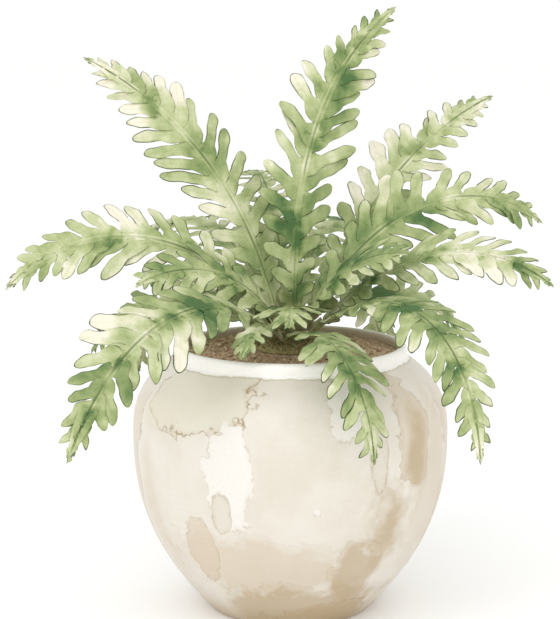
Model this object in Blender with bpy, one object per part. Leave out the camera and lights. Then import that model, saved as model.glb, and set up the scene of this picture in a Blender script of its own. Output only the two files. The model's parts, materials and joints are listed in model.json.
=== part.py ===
"""Potted fern: a round-shouldered glazed pot, the soil in it, and one fern.

The pot is turned, so it is a spun outline. The soil fills it to just under the rim. The fern is a
low crown that sits on the soil, and the fronds that spring from it: each frond is one grown piece,
a stalk that runs on as the midrib of a blade cut into rounded lobes.

Metres, +Z up. The origin is the middle of the pot's flat base, and -Y is the front.
"""

from collections import namedtuple

import bmesh
import bpy
import numpy as np
from mathutils import Matrix, Vector

# ---------------------------------------------------------------- driving dimensions
FIT_GAP = 0.0003            # between pieces that touch

POT_HEIGHT = 0.172
FOOT_RADIUS = 0.052
BELLY_RADIUS = 0.1015
BELLY_HEIGHT = 0.115        # where the pot is widest
NECK_RADIUS = 0.075         # outside of the upright collar
COLLAR_HEIGHT = 0.008       # upright band under the lip
WALL = 0.006
FLOOR_THICKNESS = 0.009
FOOT_CURVE = 2.3            # higher fills the lower wall out
SHOULDER_CURVE = 2.8        # higher squares the shoulder
FOOT_ROUND = 0.004          # radius between the base and the wall
FOOT_FLARE = 45             # degrees from the base at which the wall leaves that round
TURNED_SIDES = 44

SOIL_BELOW_RIM = 0.0052     # at the wall
SOIL_MOUND = 0.0012         # how much higher the soil is around the crown

CROWN_RADIUS = 0.022
CROWN_HEIGHT = 0.009
CROWN_MARGIN = 0.0012       # how far the level patch of soil goes on beyond the crown
OVERHANG_GAP = 0.002        # between a frond that hangs over the lip and the pot
SPREAD_STEP = 0.01          # steps in which the plant is drawn out until it clears the pot

STALK_RADIUS = 0.0015
MIDRIB_HALF_WIDTH = 0.0028  # midrib with the narrow wing that joins the lobes
MIDRIB_TAPER = 0.55         # share of its size lost by the tip
BLADE_THICKNESS = 0.0009
STALK_RINGS = 5             # cross-sections along the bare stalk
LINE_POINTS = 121           # points that a frond's curve is summed over

LOBE_HALF_WIDTH = 0.36      # share of the spacing between lobes
LOBE_LEAN = 62              # degrees between a lobe and the midrib at the blade's foot
LOBE_LEAN_LOST = 22         # how much less that is at the blade's tip
LOBE_STUB = 0.0025          # length of the last lobe, at the tip
LOBE_FOOT_SHARE = 0.55      # length of the first lobe, as a share of the longest
LOBE_FOOT_RUN = 0.25        # share of the blade over which the lobes reach their full length
LOBE_TAPER = (1.7, 0.8)     # how late, and how bluntly, the lobes shorten towards the tip
LOBE_CROWDING = 0.94        # under 1 spaces the lobes closer towards the tip
# A lobe's outer corners: share of its length, side of its middle line, and droop in lengths.
LOBE_CORNERS = ((0.66, -1, 0.10), (1.0, 0, 0.20), (0.78, 1, 0.12))

POT_COLOUR = (0.80, 0.75, 0.65)
SOIL_COLOUR = (0.16, 0.105, 0.055)
CROWN_COLOUR = (0.20, 0.15, 0.06)
FROND_DEEP = (0.10, 0.17, 0.055)
FROND_PALE = (0.34, 0.42, 0.21)

# A frond's habit, in degrees and metres. It leaves the crown towards heading (0 is +X, 90 is the
# back), and its line turns by swing on the way to the tip. It starts at the slope rise and ends at
# the slope fall; bow under 1 bends it early, over 1 late. roll turns the blade about its midrib,
# towards the light. reach is the longest lobe, pairs the lobes on each side, bare the share of the
# length with no lobes, seat how far out on the crown it stands, and pale its tint.
Habit = namedtuple("Habit", "heading swing length rise fall bow roll reach pairs bare seat pale")

FRONDS = {
    "frond_top": Habit(55, -25, 0.236, 95, 33, 1.3, 60, 0.039, 14, 0.24, 0.27, 0.55),
    "frond_upper_left": Habit(155, 26, 0.225, 78, 27, 1.1, -52, 0.038, 13, 0.26, 0.36, 0.60),
    "frond_upper_right": Habit(26, 16, 0.226, 63, 15, 1.35, 50, 0.030, 12, 0.30, 0.40, 0.80),
    "frond_left": Habit(193, 5, 0.206, 62, -47, 1.15, -55, 0.035, 12, 0.26, 0.45, 0.65),
    "frond_right": Habit(3, 15, 0.203, 65, -42, 1.5, 58, 0.036, 12, 0.26, 0.45, 0.50),
    "frond_right_low": Habit(-24, 0, 0.182, 50, -38, 1.45, 35, 0.032, 11, 0.28, 0.64, 0.85),
    "frond_lower_left": Habit(232, 12, 0.240, 44, -53, 0.8, -35, 0.036, 12, 0.24, 0.64, 0.55),
    "frond_lower_right": Habit(-46, -25, 0.223, 37, -84, 1.3, 14, 0.031, 13, 0.26, 0.64, 0.45),
    "frond_front": Habit(-78, 21, 0.161, 22, -90, 1.45, -6, 0.033, 10, 0.24, 0.73, 0.35),
    "frond_front_small": Habit(250, 0, 0.080, 45, -45, 1.0, 0, 0.013, 5, 0.45, 0.73, 0.70),
    "frond_back": Habit(100, 0, 0.200, 70, -15, 1.1, 0, 0.030, 12, 0.28, 0.45, 0.45),
    "frond_back_left": Habit(128, 0, 0.200, 62, -40, 1.1, -10, 0.030, 12, 0.28, 0.55, 0.50),
    "frond_back_right": Habit(74, 0, 0.200, 60, -40, 1.1, 10, 0.030, 12, 0.28, 0.55, 0.50),
    "frond_low_back": Habit(97, 0, 0.180, 42, -84, 1.0, 0, 0.028, 11, 0.28, 0.73, 0.40),
    "frond_low_back_left": Habit(135, 0, 0.175, 42, -80, 1.0, 0, 0.028, 11, 0.28, 0.73, 0.45),
    "frond_low_back_right": Habit(63, 0, 0.176, 42, -80, 1.0, 0, 0.028, 11, 0.28, 0.73, 0.45),
    "frond_low_left": Habit(170, 0, 0.138, 46, -62, 1.0, -40, 0.028, 9, 0.28, 0.73, 0.55),
    "frond_low_right": Habit(27, 0, 0.142, 46, -64, 1.0, 42, 0.028, 9, 0.28, 0.73, 0.55),
    "frond_inner_left": Habit(214, 0, 0.125, 66, -25, 1.0, -48, 0.028, 8, 0.24, 0.36, 0.30),
    "frond_inner_right": Habit(320, 0, 0.110, 69, 0, 1.0, 38, 0.028, 8, 0.24, 0.36, 0.25),
    "frond_inner_front": Habit(269, 0, 0.076, 60, -34, 1.0, 4, 0.028, 6, 0.28, 0.36, 0.20),
}


# ---------------------------------------------------------------- scene and materials
def clear_scene():
    for thing in list(bpy.data.objects):
        bpy.data.objects.remove(thing, do_unlink=True)


def material(name, colour, roughness):
    """A Principled material of one colour."""
    made = bpy.data.materials.new(name)
    made.use_nodes = True
    shader = made.node_tree.nodes["Principled BSDF"]
    shader.inputs["Base Color"].default_value = (*colour, 1.0)
    shader.inputs["Roughness"].default_value = roughness
    shader.inputs["Metallic"].default_value = 0.0
    made.diffuse_color = (*colour, 1.0)
    return made


def add_object(name, mesh, finish, parent=None):
    made = bpy.data.objects.new(name, mesh)
    bpy.context.scene.collection.objects.link(made)
    mesh.materials.append(finish)
    mesh.shade_smooth()
    mesh.set_sharp_from_angle(angle=np.radians(50))
    made.parent = parent
    return made


# ---------------------------------------------------------------- turned pieces
def wall_radius(z):
    """Outside radius of the pot's wall at height z: foot to belly, then belly to collar."""
    if z <= BELLY_HEIGHT:
        climb = 1 - (1 - z / BELLY_HEIGHT) ** FOOT_CURVE
        return FOOT_RADIUS + (BELLY_RADIUS - FOOT_RADIUS) * climb
    top = POT_HEIGHT - COLLAR_HEIGHT
    fold = min((z - BELLY_HEIGHT) / (top - BELLY_HEIGHT), 1.0)
    return NECK_RADIUS + (BELLY_RADIUS - NECK_RADIUS) * (1 - fold**SHOULDER_CURVE)


def wall_heights():
    """Heights of the wall's rings, closer together at the foot and at the top of the shoulder."""
    top = POT_HEIGHT - COLLAR_HEIGHT
    foot = FOOT_ROUND * (1 - np.cos(np.radians(FOOT_FLARE)))
    lower = foot + (BELLY_HEIGHT - foot) * np.linspace(0, 1, 8) ** 1.2
    shoulder = BELLY_HEIGHT + (top - BELLY_HEIGHT) * (1 - np.linspace(1, 0, 6) ** 1.6)
    return list(lower) + list(shoulder[1:])


def spun(name, outline):
    """A closed body of revolution about Z from an outline that starts and ends on the axis."""
    shape = bmesh.new()
    ring = [shape.verts.new((r, 0.0, z)) for r, z in outline]
    edges = [shape.edges.new(pair) for pair in zip(ring, ring[1:])]
    bmesh.ops.spin(
        shape, geom=ring + edges, cent=(0, 0, 0), axis=(0, 0, 1),
        angle=2 * np.pi, steps=TURNED_SIDES, use_merge=True,
    )
    bmesh.ops.remove_doubles(shape, verts=shape.verts, dist=1e-7)
    bmesh.ops.recalc_face_normals(shape, faces=shape.faces)
    mesh = bpy.data.meshes.new(name)
    shape.to_mesh(mesh)
    shape.free()
    return mesh


def inside_heights():
    """The wall's ring heights above the floor, which the soil shares, to lie along the wall."""
    return [FLOOR_THICKNESS] + [z for z in wall_heights() if z > FLOOR_THICKNESS + FIT_GAP]


def pot_mesh():
    """Foot, outside wall, collar with a round lip, inside wall and floor."""
    lip_centre = NECK_RADIUS - WALL / 2
    lip_base = POT_HEIGHT - WALL / 2
    foot_centre = wall_radius(wall_heights()[0]) - FOOT_ROUND * np.sin(np.radians(FOOT_FLARE))
    outline = [(0.0, 0.0)]
    for angle in np.radians(np.linspace(0, FOOT_FLARE, 3)[:-1]):
        outline.append((foot_centre + FOOT_ROUND * np.sin(angle), FOOT_ROUND * (1 - np.cos(angle))))
    outline += [(wall_radius(z), z) for z in wall_heights()]
    for angle in np.radians(np.linspace(0, 180, 7)):
        outline.append((lip_centre + WALL / 2 * np.cos(angle), lip_base + WALL / 2 * np.sin(angle)))
    outline += [(wall_radius(z) - WALL, z) for z in reversed(inside_heights())]
    outline.append((0.0, FLOOR_THICKNESS))
    return spun("pot", outline)


def soil_edge_height():
    return POT_HEIGHT - SOIL_BELOW_RIM


def soil_seat_height():
    """Height of the level patch that the crown sits on."""
    return soil_edge_height() + SOIL_MOUND


def soil_mesh(spread):
    """Soil that fills the pot, with a low mound that levels out under the crown."""
    edge = soil_edge_height()
    side = [z for z in inside_heights() if z < edge - FIT_GAP] + [edge]
    outline = [(0.0, FLOOR_THICKNESS + FIT_GAP)]
    outline.append((wall_radius(FLOOR_THICKNESS) - WALL - FIT_GAP, FLOOR_THICKNESS + FIT_GAP))
    outline += [(wall_radius(z) - WALL - FIT_GAP, z) for z in side[1:]]
    rim = outline[-1][0]
    seat = CROWN_RADIUS * spread + CROWN_MARGIN
    for share in np.linspace(1, 0, 6)[1:]:
        rise = SOIL_MOUND * (0.5 + 0.5 * np.cos(np.pi * share))
        outline.append((seat + (rim - seat) * share, edge + rise))
    outline.append((0.0, soil_seat_height()))
    return spun("soil", outline)


def crown_height(radius):
    """Height of the crown's domed top at a distance from its axis."""
    share = min(radius / CROWN_RADIUS, 1.0)
    return soil_seat_height() + FIT_GAP + CROWN_HEIGHT * np.sqrt(1 - share**2)


def crown_mesh():
    """A low dome, level underneath, standing on the soil."""
    base = soil_seat_height() + FIT_GAP
    outline = [(0.0, base)]
    for angle in np.radians(np.linspace(0, 90, 7)):
        outline.append((CROWN_RADIUS * np.cos(angle), base + CROWN_HEIGHT * np.sin(angle)))
    outline[-1] = (0.0, base + CROWN_HEIGHT)
    return spun("crown", outline)


# ---------------------------------------------------------------- fronds
def midrib_line(habit):
    """Points and directions along a frond that leaves its foot towards +X.

    The slope goes from rise to fall and the heading swings as the line grows, and the points are
    the running sum of the directions.
    """
    share = np.linspace(0, 1, LINE_POINTS)
    slope = np.radians(habit.rise + (habit.fall - habit.rise) * share**habit.bow)
    turn = np.radians(habit.swing * share)
    along = np.stack([np.cos(slope) * np.cos(turn), np.cos(slope) * np.sin(turn), np.sin(slope)], -1)
    step = (along[1:] + along[:-1]) / 2 * habit.length / (len(share) - 1)
    points = np.vstack([np.zeros(3), np.cumsum(step, axis=0)])
    side = np.stack([np.sin(turn), -np.cos(turn), np.zeros_like(turn)], -1)
    face = np.cross(side, along)
    ease = np.clip(share / habit.bare, 0, 1)
    roll = np.radians(habit.roll) * ease**2 * (3 - 2 * ease)
    cos, sin = np.cos(roll)[:, None], np.sin(roll)[:, None]
    return {
        "share": share,
        "point": points,
        "along": along,
        "side": side * cos - face * sin,
        "face": face * cos + side * sin,
    }


def read_line(line, key, share):
    return Vector([float(np.interp(share, line["share"], line[key][:, axis])) for axis in range(3)])


def lobe_length(habit, place):
    """Lobe length at a place along the blade, 0 at its foot and 1 at its tip."""
    late, blunt = LOBE_TAPER
    shoulder = LOBE_FOOT_SHARE + (1 - LOBE_FOOT_SHARE) * min(place / LOBE_FOOT_RUN, 1.0)
    return habit.reach * (1 - place**late) ** blunt * shoulder + LOBE_STUB


def ring_corners(width, thickness):
    """The midrib's cross-section: a flat hexagon, as (side, face) offsets."""
    flat = 0.45 * thickness
    return [(width, flat), (0, thickness), (-width, flat), (-width, -flat), (0, -thickness), (width, -flat)]


def add_lobe(shape, line, habit, first, last, index, hand):
    """One rounded lobe, open where it joins the midrib between two of its rings.

    first and last are the rings' (top, bottom) corners on the side that hand (1 or -1) gives.
    """
    place = (index + 0.5) / habit.pairs
    start, end = blade_share(habit, index), blade_share(habit, index + 1)
    middle = (start + end) / 2
    length = lobe_length(habit, place)
    lean = np.radians(LOBE_LEAN - LOBE_LEAN_LOST * place)
    side = read_line(line, "side", middle) * hand
    along = read_line(line, "along", middle)
    face = read_line(line, "face", middle)
    out = side * np.sin(lean) + along * np.cos(lean)
    across = along * np.sin(lean) - side * np.cos(lean)
    half_width = (end - start) * habit.length * LOBE_HALF_WIDTH
    foot = read_line(line, "point", middle)
    tops, bottoms = [first[0]], [first[1]]
    for reach, spread, droop in LOBE_CORNERS:
        spot = foot + out * length * reach + across * half_width * spread - face * length * droop
        tops.append(shape.verts.new(spot + face * BLADE_THICKNESS * 0.4))
        bottoms.append(shape.verts.new(spot - face * BLADE_THICKNESS * 0.4))
    tops.append(last[0])
    bottoms.append(last[1])
    for corners, flip in ((tops, hand < 0), (bottoms, hand > 0)):
        for trio in ((0, 1, 2), (0, 2, 4), (2, 3, 4)):
            picked = [corners[i] for i in trio]
            shape.faces.new(picked[::-1] if flip else picked)
    for i in range(4):
        quad = [tops[i], bottoms[i], bottoms[i + 1], tops[i + 1]]
        for trio in (quad[:3], [quad[0], quad[2], quad[3]]):
            shape.faces.new(trio[::-1] if hand < 0 else trio)


def blade_share(habit, index):
    """Where along the frond the ring before lobe pair number index stands."""
    return habit.bare + (1 - habit.bare) * (index / habit.pairs) ** LOBE_CROWDING


def frond_mesh(name, habit):
    """Stalk and midrib as one six-sided tube, with a lobe grown out of each side of the blade."""
    line = midrib_line(habit)
    shares = list(np.linspace(0, habit.bare, STALK_RINGS + 1)[:-1])
    shares += [blade_share(habit, index) for index in range(habit.pairs + 1)]
    shape = bmesh.new()
    rings = []
    for number, share in enumerate(shares):
        size = 1 - MIDRIB_TAPER * share
        in_blade = number >= STALK_RINGS
        width = (MIDRIB_HALF_WIDTH if in_blade else STALK_RADIUS) * size
        thickness = (BLADE_THICKNESS / 0.9 if in_blade else STALK_RADIUS) * size
        point, side, face = (read_line(line, key, share) for key in ("point", "side", "face"))
        corners = ring_corners(width, thickness)
        rings.append([shape.verts.new(point + side * a + face * b) for a, b in corners])
    for number, (ring, after) in enumerate(zip(rings, rings[1:])):
        index = number - STALK_RINGS
        for k in range(6):
            if index >= 0 and k == 5:
                add_lobe(shape, line, habit, (ring[0], ring[5]), (after[0], after[5]), index, 1)
            elif index >= 0 and k == 2:
                add_lobe(shape, line, habit, (ring[2], ring[3]), (after[2], after[3]), index, -1)
            else:
                n = (k + 1) % 6
                shape.faces.new((ring[k], after[k], after[n], ring[n]))
    shape.faces.new(rings[0])
    shape.faces.new(rings[-1][::-1])
    mesh = bpy.data.meshes.new(name)
    shape.to_mesh(mesh)
    shape.free()
    return mesh


def add_frond(name, habit, plant):
    """Build a frond in its own frame, then stand it on the crown and turn it to its heading."""
    colour = [d + (p - d) * habit.pale for d, p in zip(FROND_DEEP, FROND_PALE)]
    frond = add_object(name, frond_mesh(name, habit), material(name, colour, 0.55), plant)
    turn = np.radians(habit.heading)
    distance = habit.seat * CROWN_RADIUS
    clear = crown_height(distance - STALK_RADIUS) + FIT_GAP + STALK_RADIUS
    seat = (distance * np.cos(turn), distance * np.sin(turn), clear - plant.location.z)
    frond.matrix_local = Matrix.Translation(seat) @ Matrix.Rotation(turn, 4, "Z")
    return frond


def clears_pot(points):
    """Whether each point is above the lip, outside the wall or within the mouth, by OVERHANG_GAP."""
    out = np.hypot(points[:, 0], points[:, 1])
    wall = np.array([wall_radius(z) for z in points[:, 2]])
    above = points[:, 2] > POT_HEIGHT + OVERHANG_GAP
    within = out < NECK_RADIUS - WALL - OVERHANG_GAP
    return np.all(above | within | (out > wall + OVERHANG_GAP))


def spread_over_pot(fronds):
    """How far the plant is drawn out sideways for its fronds to hang clear of the pot.

    It is 1 where they hang clear as they grew, as they do on the pot stated above.
    """
    points = []
    for frond in fronds:
        points += [frond.matrix_world @ vertex.co for vertex in frond.data.vertices]
    points = np.array(points)
    spread = 1.0
    while not clears_pot(points * (spread, spread, 1)):
        spread += SPREAD_STEP
    return spread


def build():
    clear_scene()
    plant = bpy.data.objects.new("plant", None)
    plant.location = (0, 0, soil_seat_height())
    bpy.context.scene.collection.objects.link(plant)
    crown = add_object("crown", crown_mesh(), material("crown", CROWN_COLOUR, 0.9), plant)
    crown.location.z = -soil_seat_height()
    fronds = [add_frond(name, habit, plant) for name, habit in FRONDS.items()]
    bpy.context.view_layer.update()
    spread = spread_over_pot(fronds)
    plant.scale = (spread, spread, 1)
    add_object("soil", soil_mesh(spread), material("soil", SOIL_COLOUR, 0.95))
    add_object("pot", pot_mesh(), material("pot", POT_COLOUR, 0.35))


build()
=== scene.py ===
"""A fern in a round-shouldered glazed pot, made from the pot upwards: pot, soil, crown, fronds."""

import json
from collections import namedtuple

import bpy
import numpy as np
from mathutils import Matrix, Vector


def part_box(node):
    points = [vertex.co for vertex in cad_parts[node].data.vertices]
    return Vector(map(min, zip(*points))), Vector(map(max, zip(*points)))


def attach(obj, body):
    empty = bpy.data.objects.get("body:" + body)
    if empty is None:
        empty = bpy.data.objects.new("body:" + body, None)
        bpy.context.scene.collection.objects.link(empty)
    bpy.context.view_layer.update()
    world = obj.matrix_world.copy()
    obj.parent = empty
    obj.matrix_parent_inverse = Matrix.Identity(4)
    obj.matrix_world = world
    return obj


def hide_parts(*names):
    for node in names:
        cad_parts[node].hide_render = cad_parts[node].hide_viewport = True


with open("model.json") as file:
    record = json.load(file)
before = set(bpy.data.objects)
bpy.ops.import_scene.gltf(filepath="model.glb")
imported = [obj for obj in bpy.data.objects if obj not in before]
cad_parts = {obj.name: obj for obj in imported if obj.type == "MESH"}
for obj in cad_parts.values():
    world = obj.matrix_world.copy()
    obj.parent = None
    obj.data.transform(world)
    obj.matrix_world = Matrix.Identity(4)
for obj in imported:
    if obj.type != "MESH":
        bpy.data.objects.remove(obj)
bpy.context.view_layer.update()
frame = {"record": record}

# ------------------------------------------------------------------------------------- the pot
# A stoneware pot, thrown on a wheel: small flat foot, wide belly, square shoulder and a short
# upright collar with a rounded lip. It is dipped and poured in thin cream and buff glazes whose
# overlapping washes leave soft patches with a darker line where each one stopped. Some of the
# washes are painted light: white and cream highlights on the front left and right, and tan and
# buff painted shade down the right side, low on the front, at the foot and inside the collar. The
# white lip is brightened as painted light.
POT_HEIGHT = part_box("pot")[1].z
BELLY_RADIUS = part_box("pot")[1].x
BELLY_HEIGHT = 0.115
FOOT_RADIUS = 0.052
NECK_RADIUS = 0.075
COLLAR_HEIGHT = 0.008
WALL = 0.006
FLOOR_THICKNESS = 0.009
FOOT_ROUND = 0.004
FOOT_FLARE = np.radians(45)
TURNED_SIDES = 288
THROWING_RIDGE = 0.00010     # depth of the rings left by the fingers
THROWING_PITCH = 0.0042
MM = 1000                    # millimetres in a metre, for patterns measured in millimetres

# Besides glaze, the white and cream also serve as painted highlights, the buff and tan as painted shade, and
# the lip's white is brightened as painted light.
GLAZE_CREAM_AND_HIGHLIGHT = (0.655, 0.608, 0.522)
GLAZE_WHITE_AND_HIGHLIGHT = (0.785, 0.755, 0.708)
GLAZE_LIP_AND_LIGHT = (0.885, 0.870, 0.830)
GLAZE_BUFF_AND_SHADE = (0.590, 0.492, 0.370)
GLAZE_TAN_AND_SHADE = (0.445, 0.335, 0.195)
GLAZE_MOSS = (0.660, 0.625, 0.480)
GLAZE_LINE = (0.280, 0.190, 0.085)
BARE_CLAY = (0.560, 0.430, 0.300)
LIP_GLAZE_FROM = 162.5       # mm up, where the white glaze of the lip stops
LIP_GLAZE_FULL = 163.6
SIDE_RUNS = ((-1.24, -1), (1.21, 1))     # turn from the front in radians, and the way the flood lies

# Each wash: angle round the pot from the front (degrees, right is positive), height, half width and
# half height (mm), softness of its border, strength, glaze, and strength of the line at its border.
# The rows marked below as painted highlight or painted shade stand in for light and shade.
WASHES_AND_PAINTED_LIGHT = (
    # painted highlight (this row): a soft pale patch on the lit left side
    (-20, 118, 30, 50, 0.6, 0.25, GLAZE_WHITE_AND_HIGHLIGHT, 0.0),
    # painted shade (these three rows): buff and tan low on the front, darker towards the foot
    (-14, 46, 84, 24, 0.35, 0.60, GLAZE_BUFF_AND_SHADE, 0.12),
    (10, 16, 90, 22, 0.40, 0.70, GLAZE_TAN_AND_SHADE, 0.20),
    (24, 8, 60, 14, 0.35, 0.75, GLAZE_TAN_AND_SHADE, 0.55),
    # painted shade (these five rows): buff and tan down the right side, away from the light
    (62, 92, 34, 64, 0.45, 0.55, GLAZE_BUFF_AND_SHADE, 0.0),
    (47, 128, 18, 36, 0.12, 0.62, GLAZE_BUFF_AND_SHADE, 0.45),
    (49, 114, 15, 46, 0.9, 0.80, GLAZE_TAN_AND_SHADE, 0.0),
    (38, 76, 21, 36, 0.8, 0.80, GLAZE_TAN_AND_SHADE, 0.0),
    (27, 40, 22, 26, 0.4, 0.65, GLAZE_TAN_AND_SHADE, 0.30),
    # painted highlight (this row): cream on the right side
    (56, 62, 14, 44, 0.7, 0.50, GLAZE_CREAM_AND_HIGHLIGHT, 0.0),
    (-37, 52, 13, 24, 0.20, 0.60, GLAZE_BUFF_AND_SHADE, 0.45),
    (-62, 96, 12, 60, 0.8, 0.40, GLAZE_BUFF_AND_SHADE, 0.0),
    (-40, 152, 48, 22, 0.12, 0.42, GLAZE_MOSS, 0.95),
    (-66, 138, 26, 14, 0.7, 0.45, GLAZE_MOSS, 0.0),
    # painted highlight (this row): the white patch on the front left
    (-22, 103, 17, 35, 0.09, 0.98, GLAZE_WHITE_AND_HIGHLIGHT, 0.30),
    (-25, 84, 8, 15, 0.12, 0.85, GLAZE_CREAM_AND_HIGHLIGHT, 0.35),
    (22, 148, 17, 17, 0.10, 0.98, GLAZE_WHITE_AND_HIGHLIGHT, 0.30),
    (32, 116, 7, 22, 0.10, 0.80, GLAZE_CREAM_AND_HIGHLIGHT, 0.45),
    (9, 87, 5, 5, 0.10, 0.95, GLAZE_WHITE_AND_HIGHLIGHT, 0.40),
    (140, 90, 60, 60, 0.5, 0.60, GLAZE_BUFF_AND_SHADE, 0.20),
    (-150, 120, 55, 32, 0.2, 0.55, GLAZE_MOSS, 0.60),
    (-120, 70, 36, 36, 0.15, 0.90, GLAZE_WHITE_AND_HIGHLIGHT, 0.30),
    (170, 40, 60, 24, 0.4, 0.60, GLAZE_TAN_AND_SHADE, 0.25),
    (105, 60, 26, 40, 0.3, 0.60, GLAZE_TAN_AND_SHADE, 0.25),
    (-92, 36, 44, 22, 0.4, 0.60, GLAZE_BUFF_AND_SHADE, 0.20),
)


def wall_radius(z):
    """Outside radius at height z: foot to belly by 1 - (1 - z/belly)^2.3, belly to collar by the
    fold^2.8 of the shoulder, and straight up the collar."""
    z = np.asarray(z, float)
    climb = 1 - (1 - np.clip(z / BELLY_HEIGHT, 0, 1)) ** 2.3
    fold = np.clip((z - BELLY_HEIGHT) / (POT_HEIGHT - COLLAR_HEIGHT - BELLY_HEIGHT), 0, 1)
    lower = FOOT_RADIUS + (BELLY_RADIUS - FOOT_RADIUS) * climb
    upper = NECK_RADIUS + (BELLY_RADIUS - NECK_RADIUS) * (1 - fold**2.8)
    return np.where(z <= BELLY_HEIGHT, lower, upper)


def hand_thrown(radius, height, turn):
    """Radius pulled a little out of round: two and three slow lobes that grow from nothing at the
    foot to full at the belly and fade again at the lip, and the fine rings of throwing."""
    share = np.clip(height / POT_HEIGHT, 0, 1)
    body = np.sin(np.pi * share) ** 2
    lobes = 0.0030 * np.cos(2 * turn + 0.7) + 0.0016 * np.cos(3 * turn + 2.1 + 3 * share)
    rings = np.sin(2 * np.pi * (height / THROWING_PITCH + turn / (2 * np.pi)))
    patchy = 0.5 + 0.5 * np.sin(4 * turn + 60 * height)
    return radius * (1 + lobes * body) + THROWING_RIDGE * rings * patchy * body


def turned(radius, height, sides, shape=None):
    """Surface of revolution: profile point i at turn t stands at (r_i cos t, r_i sin t, z_i), with
    r_i reshaped by shape(r, z, t) if given. A profile that starts and ends on the axis is closed
    there with one point. Returns points, four-cornered faces and three-cornered faces."""
    turn = np.linspace(0, 2 * np.pi, sides, endpoint=False)
    r, z, t = np.broadcast_arrays(radius[1:-1, None], height[1:-1, None], turn)
    r = shape(r, z, t) if shape else r
    rings = np.stack([r * np.cos(t), r * np.sin(t), z], -1).reshape(-1, 3)
    points = np.vstack([rings, [[0, 0, height[0]], [0, 0, height[-1]]]])
    number = np.arange(len(rings)).reshape(r.shape)
    after = np.roll(number, -1, axis=1)
    quads = np.stack([number[:-1], after[:-1], after[1:], number[1:]], -1).reshape(-1, 4)
    first, last = np.full(sides, len(rings)), np.full(sides, len(rings) + 1)
    start = np.stack([after[0], number[0], first], -1)
    end = np.stack([number[-1], after[-1], last], -1)
    return points, quads, np.vstack([start, end])


def piece(name, points, quads, tris, finish, **facts):
    """A smooth mesh object at the origin. facts are per-point attributes, numbers or triples."""
    mesh = bpy.data.meshes.new(name)
    mesh.from_pydata(points.tolist(), [], quads.tolist() + tris.tolist())
    for label, values in facts.items():
        kind, field = ("FLOAT", "value") if values.ndim == 1 else ("FLOAT_VECTOR", "vector")
        store = mesh.attributes.new(label, kind, "POINT").data
        store.foreach_set(field, values.astype(np.float32).ravel())
    mesh.shade_smooth()
    mesh.materials.append(finish)
    made = bpy.data.objects.new(name, mesh)
    bpy.context.scene.collection.objects.link(made)
    return made


def node(tree, kind, feeds, **settings):
    """Adds a shader node. feeds gives each socket a number, a colour or another node's output."""
    made = tree.nodes.new(kind)
    for key, value in settings.items():
        setattr(made, key, value)
    for socket, value in feeds.items():
        if isinstance(value, bpy.types.NodeSocket):
            tree.links.new(value, made.inputs[socket])
        else:
            made.inputs[socket].default_value = value
    return made


def maths(tree, operation, a, b=0.0, c=0.0):
    """One sum on up to three numbers or outputs, such as MULTIPLY_ADD, which is a * b + c."""
    return node(tree, "ShaderNodeMath", {0: a, 1: b, 2: c}, operation=operation).outputs[0]


def mixed(tree, share, under, over):
    """Colour over laid on colour under, by share."""
    feeds = {0: share}
    feeds[6] = (*under, 1) if isinstance(under, tuple) else under
    feeds[7] = (*over, 1) if isinstance(over, tuple) else over
    return node(tree, "ShaderNodeMix", feeds, data_type="RGBA").outputs[2]


def eased(tree, value, low, high, to_low=0.0, to_high=1.0):
    """value's way from low to high as a smooth step from to_low to to_high."""
    feeds = {"Value": value, "From Min": low, "From Max": high, "To Min": to_low, "To Max": to_high}
    return node(tree, "ShaderNodeMapRange", feeds, interpolation_type="SMOOTHSTEP").outputs[0]


def noise(tree, where, scale, detail=3.0, roughness=0.5):
    """Cloudy value about 0.5, with scale clouds to the metre."""
    feeds = {"Vector": where, "Scale": scale, "Detail": detail, "Roughness": roughness}
    return node(tree, "ShaderNodeTexNoise", feeds).outputs[0]


def new_finish(name, roughness):
    """A material's node tree, its shader and its place on the object."""
    made = bpy.data.materials.new(name)
    made.use_nodes = True
    tree = made.node_tree
    shader = tree.nodes["Principled BSDF"]
    shader.inputs["Roughness"].default_value = roughness
    return made, tree, shader, node(tree, "ShaderNodeTexCoord", {}).outputs["Object"]


def add_relief(tree, shader, height, depth):
    """Bump of that depth, in metres, from a height of 0 to 1."""
    bump = node(tree, "ShaderNodeBump", {"Height": height, "Strength": 1.0, "Distance": depth})
    tree.links.new(bump.outputs[0], shader.inputs["Normal"])


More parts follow.
